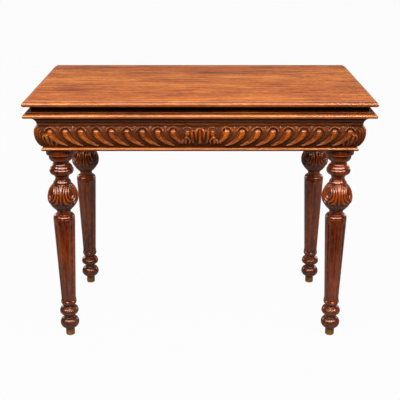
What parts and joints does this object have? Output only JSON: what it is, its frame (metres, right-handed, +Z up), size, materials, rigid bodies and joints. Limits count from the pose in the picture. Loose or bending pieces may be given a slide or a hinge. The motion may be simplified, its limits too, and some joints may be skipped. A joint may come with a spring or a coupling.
{
  "type": "games table",
  "caption": "Folding mahogany games table with a moulded swivel top that turns and unfolds, a carved swelling frieze over a card well, and turned, carved and fluted legs.",
  "frame": {"origin": "on the floor under the middle of the closed top", "axes": "+X to the right along the front edge, +Y from the front to the hinged back edge, +Z up"},
  "size_m": [0.914, 0.508, 0.71],
  "materials": {
    "top_mahogany": "french polished, orange-brown, grain along the length",
    "frame_mahogany": "french polished, red-brown, darker in the hollows",
    "leg_mahogany": "french polished, dark red-brown, glossy on the turnings",
    "plain_timber": "planed and unpolished",
    "baize": "green woollen playing cloth",
    "brass": "satin",
    "aged_brass": "dull and tarnished",
    "steel": "dull"
  },
  "bodies": {
    "frame": {"cove_front": "frame_mahogany", "cove_back": "frame_mahogany", "cove_left": "frame_mahogany", "cove_right": "frame_mahogany", "frieze_front": "frame_mahogany", "frieze_back": "frame_mahogany", "frieze_left": "frame_mahogany", "frieze_right": "frame_mahogany", "bead_front": "frame_mahogany", "bead_back": "frame_mahogany", "bead_left": "frame_mahogany", "bead_right": "frame_mahogany", "front_rail": "plain_timber", "back_rail": "plain_timber", "left_rail": "plain_timber", "right_rail": "plain_timber", "block_front_left": "plain_timber", "block_front_right": "plain_timber", "block_back_left": "plain_timber", "block_back_right": "plain_timber", "block_screws": "steel", "leg_front_left": "leg_mahogany", "leg_front_right": "leg_mahogany", "leg_back_left": "leg_mahogany", "leg_back_right": "leg_mahogany", "ferrule_front_left": "aged_brass", "ferrule_front_right": "aged_brass", "ferrule_back_left": "aged_brass", "ferrule_back_right": "aged_brass", "well_floor": "plain_timber", "pivot_bearer": "plain_timber", "pivot_bush": "brass"},
    "lower_top": {"lower_leaf": "top_mahogany", "lower_baize": "baize", "pivot_plate": "steel", "plate_screws": "brass", "pivot_bolt": "steel", "pivot_washer": "steel", "pivot_nut": "steel", "stop_peg": "plain_timber", "hinge_lower_left": "brass", "hinge_lower_right": "brass", "hinge_pins": "brass", "lower_hinge_screws": "brass"},
    "upper_top": {"upper_leaf": "top_mahogany", "upper_baize": "baize", "hinge_upper_left": "brass", "hinge_upper_right": "brass", "upper_hinge_screws": "brass"}
  },
  "joints": [
    {"name": "top_swivel", "type": "hinge", "parent": "frame", "child": "lower_top", "pos_m": [0.12525, 0.12525, 0.665], "axis": [0, 0, 1], "range_deg": [0, 90]},
    {"name": "leaf_fold", "type": "hinge", "parent": "lower_top", "child": "upper_top", "pos_m": [0, 0.2505, 0.6875], "axis": [-1, 0, 0], "range_deg": [0, 180]}
  ]
}
